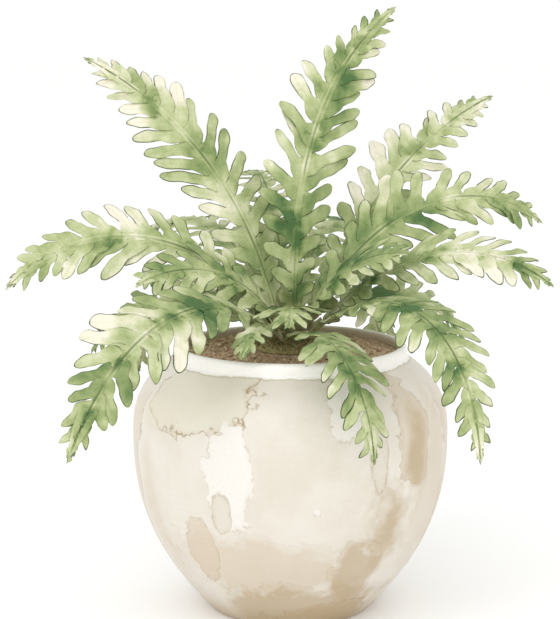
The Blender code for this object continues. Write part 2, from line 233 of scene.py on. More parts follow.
def glaze_finish():
    """Cream glaze, then the washes in order: each is an ellipse on the unrolled wall whose distance
    from its middle, 1 at the border, is shaken by noise; some washes are painted highlights and
    painted shade. Over them come a flood of buff past a wandering run on each side, tan as painted
    shade over the foot, the white lip, brightened as painted light, tan as painted shade inside the
    collar, a speckle of grains, and bare clay under the foot."""
    made, tree, shader, here = new_finish("pot_glaze", 0.42)
    axes = node(tree, "ShaderNodeSeparateXYZ", {0: here}).outputs
    back = maths(tree, "MULTIPLY", axes[1], -1)
    turn = maths(tree, "ARCTAN2", axes[0], back)
    round_mm = maths(tree, "MULTIPLY", turn, BELLY_RADIUS * MM)
    up_mm = maths(tree, "MULTIPLY", axes[2], MM)
    flat = node(tree, "ShaderNodeCombineXYZ", {0: round_mm, 1: up_mm}).outputs[0]
    broad = maths(tree, "SUBTRACT", noise(tree, here, 34, 3), 0.5)
    crinkle = maths(tree, "SUBTRACT", noise(tree, here, 230, 5, 0.65), 0.5)
    scallop = maths(tree, "ABSOLUTE", maths(tree, "SUBTRACT", noise(tree, here, 95, 2), 0.5))
    waver = maths(tree, "MULTIPLY_ADD", broad, 1.5, maths(tree, "MULTIPLY", crinkle, 0.22))
    waver = maths(tree, "MULTIPLY_ADD", scallop, 0.9, maths(tree, "ADD", waver, -0.06))
    cloud = eased(tree, noise(tree, here, 22, 5, 0.6), 0.34, 0.68, 0.0, 0.45)
    colour = mixed(tree, cloud, GLAZE_CREAM_AND_HIGHLIGHT, GLAZE_WHITE_AND_HIGHLIGHT)
    kept = eased(tree, crinkle, -0.14, 0.12, 0.15, 1.0)
    for angle, up, wide, tall, soft, strength, tint, line in WASHES_AND_PAINTED_LIGHT:
        centre = (np.radians(angle) * BELLY_RADIUS * MM, up, 0)
        stretch = (1 / wide, 1 / tall, 0)
        offset = node(tree, "ShaderNodeVectorMath", {0: flat, 1: centre}, operation="SUBTRACT")
        scaled = node(tree, "ShaderNodeVectorMath", {0: offset.outputs[0], 1: stretch}, operation="MULTIPLY")
        away = node(tree, "ShaderNodeVectorMath", {0: scaled.outputs[0]}, operation="LENGTH").outputs[1]
        reach = maths(tree, "ADD", away, waver)
        inside = eased(tree, reach, 1.0, 1.0 - soft, 0.0, strength)
        colour = mixed(tree, inside, colour, tint)
        if line:
            band = 1.0 / min(wide, tall)
            off = maths(tree, "ABSOLUTE", maths(tree, "SUBTRACT", reach, 1.0 - band))
            rim = maths(tree, "MULTIPLY", eased(tree, off, band, 0.0, 0.0, line), kept)
            colour = mixed(tree, rim, colour, GLAZE_LINE)
            bleed = eased(tree, maths(tree, "SUBTRACT", 1.0, reach), 5 * band, 0.0, 0.0, 0.35 * line)
            shore = maths(tree, "MULTIPLY", bleed, eased(tree, reach, 1.0, 1.0 - band))
            colour = mixed(tree, shore, colour, GLAZE_TAN_AND_SHADE)
    low = eased(tree, axes[2], 0.158, 0.134)
    gaps = eased(tree, crinkle, -0.14, 0.10, 0.2, 1.0)
    for edge, way in SIDE_RUNS:
        drift = maths(tree, "MULTIPLY_ADD", broad, 0.40, maths(tree, "MULTIPLY_ADD", scallop, 0.05, edge))
        past = maths(tree, "MULTIPLY", maths(tree, "SUBTRACT", turn, drift), way)
        flood = eased(tree, past, 0.45, 0.0, 0.0, 0.55)
        flood = maths(tree, "MULTIPLY", flood, eased(tree, past, 0.0, 0.012))
        colour = mixed(tree, maths(tree, "MULTIPLY", flood, low), colour, GLAZE_BUFF_AND_SHADE)
        line = eased(tree, maths(tree, "ABSOLUTE", past), 0.010, 0.002, 0.0, 0.62)
        run = maths(tree, "MULTIPLY", maths(tree, "MULTIPLY", line, low), gaps)
        colour = mixed(tree, run, colour, GLAZE_LINE)
    # painted shade: tan over the lowest 22 mm, darker towards the foot
    foot_shade = maths(tree, "MULTIPLY", eased(tree, axes[2], 0.022, 0.0), 0.7)
    colour = mixed(tree, foot_shade, colour, GLAZE_TAN_AND_SHADE)
    # the white lip glaze, brighter than the wall's white as painted light where the fronds shade it
    stop = maths(tree, "MULTIPLY_ADD", waver, 3.0, up_mm)
    colour = mixed(tree, eased(tree, stop, LIP_GLAZE_FROM, LIP_GLAZE_FULL, 0.0, 0.92), colour, GLAZE_LIP_AND_LIGHT)
    off = maths(tree, "ABSOLUTE", maths(tree, "SUBTRACT", stop, LIP_GLAZE_FROM + 0.1))
    colour = mixed(tree, eased(tree, off, 0.6, 0.1, 0.0, 0.30), colour, GLAZE_LINE)
    level = node(tree, "ShaderNodeCombineXYZ", {0: axes[0], 1: axes[1]}).outputs[0]
    out = node(tree, "ShaderNodeVectorMath", {0: level}, operation="LENGTH").outputs[1]
    # painted shade: tan inside the collar, darkening the mouth of the pot
    inner = maths(tree, "MULTIPLY", eased(tree, out, NECK_RADIUS - 0.5 * WALL, NECK_RADIUS - WALL), 0.75)
    inner = maths(tree, "MULTIPLY", inner, eased(tree, axes[2], POT_HEIGHT - 0.030, POT_HEIGHT - 0.020))
    colour = mixed(tree, inner, colour, GLAZE_TAN_AND_SHADE)
    grain = noise(tree, here, 900, 4, 0.7)
    colour = mixed(tree, eased(tree, grain, 0.46, 0.66, 0.0, 0.14), colour, GLAZE_BUFF_AND_SHADE)
    clay = eased(tree, axes[2], 0.0016, 0.0010)
    colour = mixed(tree, clay, colour, BARE_CLAY)
    tree.links.new(colour, shader.inputs["Base Color"])
    dull = maths(tree, "MULTIPLY_ADD", grain, 0.18, 0.34)
    tree.links.new(maths(tree, "MULTIPLY_ADD", clay, 0.35, dull), shader.inputs["Roughness"])
    add_relief(tree, shader, maths(tree, "MULTIPLY_ADD", grain, 0.7, noise(tree, here, 160, 3)), 0.00026)
    return made


def pot_profile():
    """Foot, wall, collar with a half-round lip, inside wall and floor, from axis to axis."""
    foot_top = FOOT_ROUND * (1 - np.cos(FOOT_FLARE))
    foot_centre = wall_radius(foot_top) - FOOT_ROUND * np.sin(FOOT_FLARE)
    flare = np.linspace(0, FOOT_FLARE, 8)[:-1]
    wall = np.linspace(foot_top, POT_HEIGHT - WALL / 2, 170)
    lip = np.linspace(0, np.pi, 17)[1:-1]
    inner = np.linspace(POT_HEIGHT - WALL / 2, FLOOR_THICKNESS, 70)
    radius = np.concatenate([
        np.linspace(0, foot_centre, 8)[:-1], foot_centre + FOOT_ROUND * np.sin(flare), wall_radius(wall),
        NECK_RADIUS - WALL / 2 + WALL / 2 * np.cos(lip), wall_radius(inner) - WALL,
        np.linspace(wall_radius(FLOOR_THICKNESS) - WALL, 0, 8)[1:],
    ])
    height = np.concatenate([
        np.zeros(7), FOOT_ROUND * (1 - np.cos(flare)), wall,
        POT_HEIGHT - WALL / 2 + WALL / 2 * np.sin(lip), inner, np.full(7, FLOOR_THICKNESS),
    ])
    return radius, height


pot = piece("pot_shell", *turned(*pot_profile(), TURNED_SIDES, hand_thrown), glaze_finish())
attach(pot, "root")
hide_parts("pot")

# ------------------------------------------------------------------------------------- the soil
# Peat and bark potting soil, filled to just under the lip and firmed a little higher round the
# plant. Its top is granular, with loose crumbs and chips of bark lying on it.
SOIL_EDGE = POT_HEIGHT - 0.0052
SOIL_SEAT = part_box("soil")[1].z
SEAT_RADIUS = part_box("crown")[1].x + 0.0012
SOIL_GAP = 0.0003
SOIL_GRAIN = 0.0011
SOIL_SIDES = 260
LUMP_POINTS = 20             # three rings of six, and the two poles
SOIL_DARK = (0.430, 0.290, 0.175)
SOIL_MID = (0.700, 0.520, 0.340)
SOIL_LIGHT = (0.840, 0.690, 0.500)
rng = np.random.default_rng(41)


def ripples(x, y, spacing, seed, count=24):
    """Rough ground, about -1 to 1: the sum of plane waves in random directions whose spacing is
    spread by a third about the one given, divided by the root of half their count."""
    waves = np.random.default_rng(seed)
    way, phase = waves.uniform(0, 2 * np.pi, (2, count))
    pitch = 2 * np.pi / (spacing * waves.uniform(0.67, 1.33, count))
    inner = x[..., None] * (pitch * np.cos(way)) + y[..., None] * (pitch * np.sin(way)) + phase
    return np.sin(inner).sum(-1) / np.sqrt(count / 2) / 2


def soil_level(radius):
    """Mean height of the soil at a distance from the axis: level at the seat of the crown, then a
    cosine slope down to the edge at the wall."""
    rim = NECK_RADIUS - WALL
    share = np.clip((radius - SEAT_RADIUS) / (rim - SEAT_RADIUS), 0, 1)
    return SOIL_EDGE + (SOIL_SEAT - SOIL_EDGE) * (0.5 + 0.5 * np.cos(np.pi * share))


def soil_finish():
    """Brown clumps, darker between the crumbs, with the loose bits tinted one by one."""
    made, tree, shader, here = new_finish("potting_soil", 0.9)
    clump = noise(tree, here, 90, 4, 0.6)
    crumb = node(tree, "ShaderNodeTexVoronoi", {"Vector": here, "Scale": 420.0})
    colour = mixed(tree, eased(tree, clump, 0.36, 0.64), SOIL_MID, SOIL_LIGHT)
    colour = mixed(tree, eased(tree, crumb.outputs[0], 0.75, 0.25, 0.0, 0.45), SOIL_DARK, colour)
    own = node(tree, "ShaderNodeAttribute", {}, attribute_name="tint").outputs["Fac"]
    colour = mixed(tree, eased(tree, own, 0.3, 1.0, 0.0, 0.7), colour, SOIL_LIGHT)
    tree.links.new(colour, shader.inputs["Base Color"])
    add_relief(tree, shader, maths(tree, "ADD", noise(tree, here, 700, 4), crumb.outputs[0]), 0.0004)
    return made


def soil_body():
    """The soil as one turned solid whose top is the mean level plus fine and coarse ripples that
    fade out under the crown and at the wall."""
    rim = NECK_RADIUS - WALL - SOIL_GAP
    top = np.linspace(0, rim, 96)
    down = np.linspace(SOIL_EDGE - 0.0005, FLOOR_THICKNESS + SOIL_GAP, 40)
    radius = np.concatenate([top, wall_radius(down) - WALL - SOIL_GAP, [0.0]])[::-1]
    height = np.concatenate([soil_level(top), down, [FLOOR_THICKNESS + SOIL_GAP]])[::-1]
    points, quads, tris = turned(radius, height, SOIL_SIDES)
    out = np.hypot(points[:, 0], points[:, 1])
    surface = points[:, 2] > SOIL_EDGE - 0.0001
    fine = ripples(points[:, 0], points[:, 1], 0.0035, 1)
    coarse = ripples(points[:, 0], points[:, 1], 0.011, 2)
    rough = 0.65 * fine + coarse
    fade = np.clip((out - SEAT_RADIUS) / 0.004, 0, 1) * np.clip((rim - out) / 0.003, 0.15, 1)
    points[:, 2] += np.where(surface, rough * fade * SOIL_GRAIN - SOIL_GRAIN * 0.6 * fade, 0)
    return points, quads, tris


def pebbles(centres, sizes, squash, seed):
    """Loose lumps: each is a ball of three rings of six points and two poles, every point drawn in
    or out at random, squashed in height and turned. All lumps are one array of (lump, point)."""
    draw = np.random.default_rng(seed)
    count = len(centres)
    turn = np.linspace(0, 2 * np.pi, 7)[:-1]
    rise = np.radians([-45, 0, 45])[:, None]
    flat = np.cos(rise)
    ring = np.stack(np.broadcast_arrays(np.cos(turn) * flat, np.sin(turn) * flat, np.sin(rise)), -1)
    ball = np.vstack([ring.reshape(-1, 3), [[0, 0, -1], [0, 0, 1]]])
    body = ball[None] * draw.uniform(0.72, 1.2, (count, LUMP_POINTS, 1)) * sizes[:, None, None]
    body = body * np.stack([np.ones(count), draw.uniform(0.55, 1, count), squash], -1)[:, None]
    spin = draw.uniform(0, 2 * np.pi, count)[:, None]
    x = body[..., 0] * np.cos(spin) - body[..., 1] * np.sin(spin)
    y = body[..., 0] * np.sin(spin) + body[..., 1] * np.cos(spin)
    points = np.stack([x, y, body[..., 2]], -1) + centres[:, None]
    number = np.arange(LUMP_POINTS - 2).reshape(3, 6)
    after = np.roll(number, -1, axis=1)
    quads = np.stack([number[:-1], after[:-1], after[1:], number[1:]], -1).reshape(-1, 4)
    low = np.stack([after[0], number[0], np.full(6, LUMP_POINTS - 2)], -1)
    high = np.stack([number[2], after[2], np.full(6, LUMP_POINTS - 1)], -1)
    step = (np.arange(count) * LUMP_POINTS)[:, None, None]
    tris = np.vstack([low, high])
    return points.reshape(-1, 3), (quads + step).reshape(-1, 4), (tris + step).reshape(-1, 3)


def scattered(count, inner, outer):
    """Places spread evenly over the ring between two radii, on the mean soil level."""
    out = np.sqrt(rng.uniform(inner**2, outer**2, count))
    turn = rng.uniform(0, 2 * np.pi, count)
    return np.stack([out * np.cos(turn), out * np.sin(turn), soil_level(out)], -1)


soil_look = soil_finish()
points, quads, tris = soil_body()
soil = piece("soil_body", points, quads, tris, soil_look, tint=np.zeros(len(points)))
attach(soil, "root")
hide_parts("soil")

CRUMBS = 700
crumb_size = 0.0005 + 0.0016 * rng.uniform(0, 1, CRUMBS) ** 2.5
crumb_place = scattered(CRUMBS, SEAT_RADIUS + 0.001, NECK_RADIUS - WALL - 0.003)
crumb_tint = np.repeat(rng.uniform(0, 1, CRUMBS), LUMP_POINTS)
points, quads, tris = pebbles(crumb_place, crumb_size, rng.uniform(0.35, 0.8, CRUMBS), 5)
crumbs = piece("soil_crumbs", points, quads, tris, soil_look, tint=crumb_tint)
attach(crumbs, "root")

# ------------------------------------------------------------------------------------- the crown
# The short rootstock that every stalk springs from: a low fibrous dome, close-set with the brown
# papery scales that cover a fern's growing points.
CROWN_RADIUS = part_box("crown")[1].x
CROWN_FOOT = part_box("crown")[0].z
CROWN_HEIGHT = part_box("crown")[1].z - CROWN_FOOT
CROWN_BROWN = (0.230, 0.190, 0.070)
CROWN_STRAW = (0.430, 0.390, 0.180)
CROWN_SIDES = 90
SCALES = 420


def crown_rise(radius):
    """Height of the dome above its foot, a quarter ellipse."""
    return CROWN_HEIGHT * np.sqrt(1 - np.clip(radius / CROWN_RADIUS, 0, 1) ** 2)


def crown_finish():
    """Brown and straw strands that run up the dome."""
    made, tree, shader, here = new_finish("crown_fibre", 0.85)
    stretch = node(tree, "ShaderNodeMapping", {"Vector": here, "Scale": (1.0, 1.0, 0.25)}).outputs[0]
    strand = noise(tree, stretch, 900, 3, 0.6)
    colour = mixed(tree, eased(tree, strand, 0.38, 0.62), CROWN_BROWN, CROWN_STRAW)
    tree.links.new(colour, shader.inputs["Base Color"])
    add_relief(tree, shader, strand, 0.0004)
    return made


def crown_body():
    """The dome, a little inside the crown's radius, its height made lumpy by ripples that grow from
    nothing at its foot."""
    angle = np.linspace(0, np.pi / 2, 26)
    radius = np.concatenate([[0.0], CROWN_RADIUS * 0.985 * np.cos(angle[:-1]), [0.0]])
    height = CROWN_FOOT + np.concatenate([[0.0], CROWN_HEIGHT * np.sin(angle[:-1]), [CROWN_HEIGHT]])
    points, quads, tris = turned(radius, height, CROWN_SIDES)
    lump = ripples(points[:, 0], points[:, 1], 0.006, 3)
    share = (points[:, 2] - CROWN_FOOT) / CROWN_HEIGHT
    points[:, 2] += 0.0006 * (lump - 0.6) * share
    return points, quads, tris


def crown_scales():
    """Pointed scales lying up the dome: each a four-sided spindle from its base to a tip that
    stands a little off, its width going as (1 - u)^0.7, and a quarter as thick as it is wide."""
    out = CROWN_RADIUS * np.sqrt(rng.uniform(0.03, 0.92, SCALES))
    turn = rng.uniform(0, 2 * np.pi, SCALES)
    long = rng.uniform(0.0025, 0.0055, SCALES)
    broad = long * rng.uniform(0.10, 0.17, SCALES)
    outward = np.stack([np.cos(turn), np.sin(turn), np.zeros(SCALES)], -1)
    lean = turn + rng.normal(0, 0.6, SCALES)
    way = np.stack([np.cos(lean) * 0.75, np.sin(lean) * 0.75, np.full(SCALES, 0.66)], -1)
    across = np.cross(way, outward + [0, 0, 1.2])
    across /= np.linalg.norm(across, axis=1)[:, None]
    lift = np.cross(across, way)
    foot = outward * out[:, None] + [0, 0, CROWN_FOOT] + crown_rise(out)[:, None] * [0, 0, 1]
    u = np.array([-0.15, 0.25, 0.6, 0.97])
    size = np.clip(1 - u, 0, 1) ** 0.7
    corner = np.array([(1, 0), (0, 0.25), (-1, 0), (0, -0.25)])
    middle = foot[:, None] + way[:, None] * (u * long[:, None])[..., None]
    spread = (size * broad[:, None])[..., None, None] * corner
    points = middle[:, :, None] + spread[..., :1] * across[:, None, None]
    points = points + spread[..., 1:] * lift[:, None, None]
    number = np.arange(len(u) * len(corner)).reshape(len(u), len(corner))
    after = np.roll(number, -1, axis=1)
    quads = np.stack([number[:-1], number[1:], after[1:], after[:-1]], -1).reshape(-1, 4)
    quads = np.vstack([quads, number[0], number[-1][::-1]])
    step = (np.arange(SCALES) * number.size)[:, None, None]
    return points.reshape(-1, 3), (quads + step).reshape(-1, 4), np.zeros((0, 3), int)


crown_look = crown_finish()
crown = piece("crown_body", *crown_body(), crown_look)
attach(crown, "root")
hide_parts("crown")
scales = piece("crown_scales", *crown_scales(), crown_look)
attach(scales, "root")

# ------------------------------------------------------------------------------------- the fronds
# Each frond is one grown leaf: a round grooved stalk that runs on as the midrib of a blade cut into
# blunt, wavy lobes, which stay joined by a narrow web along the midrib and run together at the
# tip. The leaf is thin and matt, mid green near the crown and paling to cream at the lobes' ends.

# How each frond grows. Degrees: heading at the foot and its swing by the tip, rise at the foot and
# fall at the tip (slopes), roll of the blade. Metres: length, and reach of the longest lobes.
# bow bends the slope late (above 1) or early; pairs counts the lobes of the blade; bare is the share
# of the length that is stalk, and seat the share of the crown's radius where it stands.
Habit = namedtuple("Habit", "heading swing length rise fall bow roll reach pairs bare seat")

FRONDS = {
    "frond_top": Habit(55, -25, 0.236, 95, 33, 1.3, 60, 0.039, 14, 0.24, 0.27),
    "frond_upper_left": Habit(155, 26, 0.225, 78, 27, 1.1, -52, 0.038, 13, 0.26, 0.36),
    "frond_upper_right": Habit(26, 16, 0.226, 63, 15, 1.35, 50, 0.030, 12, 0.30, 0.40),
    "frond_left": Habit(193, 5, 0.206, 62, -47, 1.15, -55, 0.035, 12, 0.26, 0.45),
    "frond_right": Habit(3, 15, 0.203, 65, -42, 1.5, 58, 0.036, 12, 0.26, 0.45),
    "frond_right_low": Habit(-24, 0, 0.182, 50, -38, 1.45, 35, 0.032, 11, 0.28, 0.64),
    "frond_lower_left": Habit(232, 12, 0.240, 44, -53, 0.8, -35, 0.036, 12, 0.24, 0.64),
    "frond_lower_right": Habit(-46, -25, 0.223, 37, -84, 1.3, 14, 0.031, 13, 0.26, 0.64),
    "frond_front": Habit(-78, 21, 0.161, 22, -90, 1.45, -6, 0.033, 10, 0.24, 0.73),
    "frond_front_small": Habit(250, 0, 0.080, 45, -45, 1.0, 0, 0.013, 5, 0.45, 0.73),
    "frond_back": Habit(100, 0, 0.200, 70, -15, 1.1, 0, 0.030, 12, 0.28, 0.45),
    "frond_back_left": Habit(128, 0, 0.200, 62, -40, 1.1, -10, 0.030, 12, 0.28, 0.55),
    "frond_back_right": Habit(74, 0, 0.200, 60, -40, 1.1, 10, 0.030, 12, 0.28, 0.55),
    "frond_low_back": Habit(97, 0, 0.180, 42, -84, 1.0, 0, 0.028, 11, 0.28, 0.73),
    "frond_low_back_left": Habit(135, 0, 0.175, 42, -80, 1.0, 0, 0.028, 11, 0.28, 0.73),
    "frond_low_back_right": Habit(63, 0, 0.176, 42, -80, 1.0, 0, 0.028, 11, 0.28, 0.73),
    "frond_low_left": Habit(170, 0, 0.138, 46, -62, 1.0, -40, 0.028, 9, 0.28, 0.73),
    "frond_low_right": Habit(27, 0, 0.142, 46, -64, 1.0, 42, 0.028, 9, 0.28, 0.73),
    "frond_inner_left": Habit(214, 0, 0.125, 66, -25, 1.0, -48, 0.028, 8, 0.24, 0.36),
    "frond_inner_right": Habit(320, 0, 0.110, 69, 0, 1.0, 38, 0.028, 8, 0.24, 0.36),
    "frond_inner_front": Habit(269, 0, 0.076, 60, -34, 1.0, 4, 0.028, 6, 0.28, 0.36),
}

# Where lobes have faded to cream, or stayed deep green: place along the blade (0 to 1), side (1 is
# the frond's right, -1 its left, 0 both), and how far it has gone, below 0 for deep green.
FADED = {
    "frond_top": (
        (0.05, -1, -0.9), (0.0, 1, -0.5), (0.30, -1, 0.5), (0.47, -1, 0.8), (0.55, 1, 0.9),
        (0.72, 1, 0.6), (0.62, -1, 0.5),
    ),
    "frond_upper_left": (
        (0.52, 1, 1.0), (0.62, 1, 0.6), (0.60, -1, 1.0), (0.80, -1, 0.7), (0.30, 0, -0.3), (0.72, 1, -0.4),
    ),
    "frond_upper_right": ((0.28, -1, 0.9), (0.40, -1, 1.0), (0.35, 1, 0.4), (0.90, 0, 0.4)),
    "frond_left": ((0.42, 1, 1.0), (0.35, -1, 0.5), (0.60, -1, 0.7), (0.85, 1, 0.5), (0.18, 1, -0.5)),
    "frond_right": ((0.20, -1, 0.7), (0.55, 1, 0.5), (0.95, 0, 0.5), (0.30, 1, -0.4)),
    "frond_right_low": ((0.58, 1, 1.0), (0.68, 1, 0.9), (0.50, 1, 0.6), (0.45, -1, 0.6)),
    "frond_lower_left": (
        (0.40, 1, 0.9), (0.50, 1, 0.7), (0.25, -1, 0.5), (0.12, 0, -0.7), (0.62, 0, -0.7),
        (0.74, 0, -0.5), (0.90, 0, -0.4),
    ),
    "frond_lower_right": ((0.35, 1, 0.3), (0.75, -1, 0.4), (0.15, 0, -0.6), (0.62, 1, -0.6), (0.85, 0, -0.3)),
    "frond_front": ((0.05, 0, -0.7), (0.16, 0, -0.5), (0.40, 0, -0.3), (0.60, 0, -0.3), (0.92, 0, -0.5)),
    "frond_inner_left": ((0.30, 0, -0.6),),
    "frond_inner_right": ((0.25, 0, -0.5), (0.70, 1, 0.4)),
    "frond_inner_front": ((0.10, 0, -0.6), (0.50, 0, -0.5), (0.80, 0, -0.4)),
    "frond_front_small": ((0.15, 0, -0.6), (0.50, 0, -0.6), (0.85, 0, -0.6)),
}

# Where lobes run together into a broad blade: place, how far along the blade that carries, side, and
# how much further out than usual they stay joined, as a share of the lobe.
MERGED = {
    "frond_top": ((0.08, 0.10, 0, 0.25), (0.50, 0.08, 1, 0.30), (0.62, 0.10, -1, 0.25)),
    "frond_upper_left": ((0.62, 0.16, 1, 0.55), (0.78, 0.14, 0, 0.55), (0.50, 0.08, -1, 0.30)),
    "frond_upper_right": ((0.45, 0.12, -1, 0.45), (0.80, 0.08, 0, 0.30)),
    "frond_left": ((0.68, 0.10, 1, 0.50), (0.45, 0.08, -1, 0.35)),
    "frond_right": ((0.20, 0.12, -1, 0.35), (0.60, 0.08, 1, 0.35)),
    "frond_right_low": ((0.55, 0.14, 1, 0.55), (0.35, 0.10, -1, 0.35)),
    "frond_lower_left": ((0.50, 0.12, 1, 0.45), (0.35, 0.12, -1, 0.30), (0.82, 0.08, 1, 0.45)),
    "frond_lower_right": ((0.30, 0.10, 1, 0.35), (0.55, 0.06, -1, 0.30)),
    "frond_front": ((0.30, 0.12, 1, 0.25), (0.62, 0.10, -1, 0.30)),
}

STALK_RADIUS = 0.0015
LINE_POINTS = 121
LEAF_THICKNESS = 0.00036     # half of it at the middle of a lobe
MARGIN_THICKNESS = 0.00007
MIDRIB_RISE = 0.0008
WEB_HALF_WIDTH = 0.0030

LEAF_DEEP = (0.060, 0.135, 0.035)
LEAF_GREEN = (0.180, 0.250, 0.085)
LEAF_MID = (0.320, 0.380, 0.160)
LEAF_LIGHT = (0.480, 0.525, 0.285)
LEAF_PALE = (0.640, 0.640, 0.440)
LEAF_CREAM = (0.790, 0.750, 0.610)
LEAF_LINE = (0.055, 0.085, 0.025)
STALK_BROWN = (0.240, 0.170, 0.075)


def smooth_step(x):
    """3x^2 - 2x^3 between 0 and 1."""
    x = np.clip(x, 0, 1)
    return x * x * (3 - 2 * x)


def midrib(habit):
    """The frond's line and its frame at even shares of its length. The slope goes from rise to fall
    as share^bow, the heading swings evenly, and points are the running sum of the directions.
    side and face are then rolled about the line, by roll from the end of the bare stalk on."""
    share = np.linspace(0, 1, LINE_POINTS)
    slope = np.radians(habit.rise + (habit.fall - habit.rise) * share**habit.bow)
    turn = np.radians(habit.heading + habit.swing * share)
    along = np.stack([np.cos(slope) * np.cos(turn), np.cos(slope) * np.sin(turn), np.sin(slope)], -1)
    step = (along[1:] + along[:-1]) / 2 * habit.length / (LINE_POINTS - 1)
    start = np.radians(habit.heading)
    out = habit.seat * CROWN_RADIUS
    foot = [out * np.cos(start), out * np.sin(start), 0]
    foot[2] = CROWN_FOOT + crown_rise(out - STALK_RADIUS) + STALK_RADIUS + SOIL_GAP
    point = np.vstack([foot, foot + np.cumsum(step, axis=0)])
    side = np.stack([np.sin(turn), -np.cos(turn), np.zeros_like(turn)], -1)
    face = np.cross(side, along)
    roll = (np.radians(habit.roll) * smooth_step(share / habit.bare))[:, None]
    return {
        "share": share, "point": point, "along": along,
        "side": side * np.cos(roll) - face * np.sin(roll),
        "face": face * np.cos(roll) + side * np.sin(roll),
    }


def read_line(line, key, share):
    """Values of the line between its points, by straight interpolation."""
    return np.stack([np.interp(share, line["share"], line[key][:, axis]) for axis in range(3)], -1)


def closed_strips(points, offset=0):
    """Faces of closed strips given as (strip, station, point round the section, 3). The section
    runs over the top and back underneath, and each end is closed across from top to underside."""
    strips, stations, ring = points.shape[:3]
    half = ring // 2
    number = np.arange(stations * ring).reshape(stations, ring)
    after = np.roll(number, -1, axis=1)
    quads = np.stack([number[:-1], number[1:], after[1:], after[:-1]], -1).reshape(-1, 4)
    top, under = np.arange(1, half - 1), ring - np.arange(1, half - 1)
    cap = np.stack([under, under - 1, top + 1, top], -1)
    ends = np.array([(0, ring - 1, 1), (half, half - 1, half + 1)])
    last = (stations - 1) * ring
    quads = np.vstack([quads, cap + last, cap[:, ::-1]])
    tris = np.vstack([ends + last, ends[:, ::-1]])
    step = (np.arange(strips) * stations * ring + offset)[:, None, None]
    return (quads + step).reshape(-1, 4), (tris + step).reshape(-1, 3)


def lobe_length(habit, place):
    """Full reach times (1 - place^1.7)^0.8, less over the first quarter of the blade, plus a stub;
    the last pairs are cut short to teeth on the tip lobe."""
    shoulder = 0.55 + 0.45 * np.clip(place / 0.25, -0.45, 1)
    full = habit.reach * (1 - np.clip(place, 0, 1) ** 1.7) ** 0.8 * shoulder + 0.0030
    return full * (1 - 0.60 * smooth_step((place - 0.86) / 0.12))


def faded_at(name, place, hand):
    """How cream the leaf is: the sum of the listed fades, each falling off along the blade as
    exp(-(distance / 0.05)^2). The midrib, hand 0, takes half of a fade that is on one side only."""
    gone = np.zeros_like(place)
    for where, side, amount in FADED.get(name, ()):
        on_blade = 1.0 if side == 0 else 1.0 * (hand == side)
        on_midrib = 1.0 if side == 0 else 0.5
        same = np.where(hand == 0, on_midrib, on_blade)
        gone = gone + amount * same * np.exp(-(((place - where) / 0.05) ** 2))
    return np.clip(gone, -1, 1)


def merged_at(name, place, hand):
    """How much further out the lobes are joined: the listed amounts, each falling off with distance
    as exp(-(distance / spread)^2)."""
    more = np.zeros_like(place)
    for where, spread, side, amount in MERGED.get(name, ()):
        same = 1.0 if side == 0 else (hand == side)
        more = more + amount * same * np.exp(-(((place - where) / spread) ** 2))
    return more


LOW_PAIRS = 3                # small lobes down the stalk, below the blade proper
LAST_PLACE = 0.965           # of the outermost pair along the blade
TIP_FROM = 0.85              # share of the length where the lobe that ends the frond begins
STATIONS = 20
ROUND_HALF = 6               # steps across the top of a lobe; as many underneath
FROND_SEED = 700


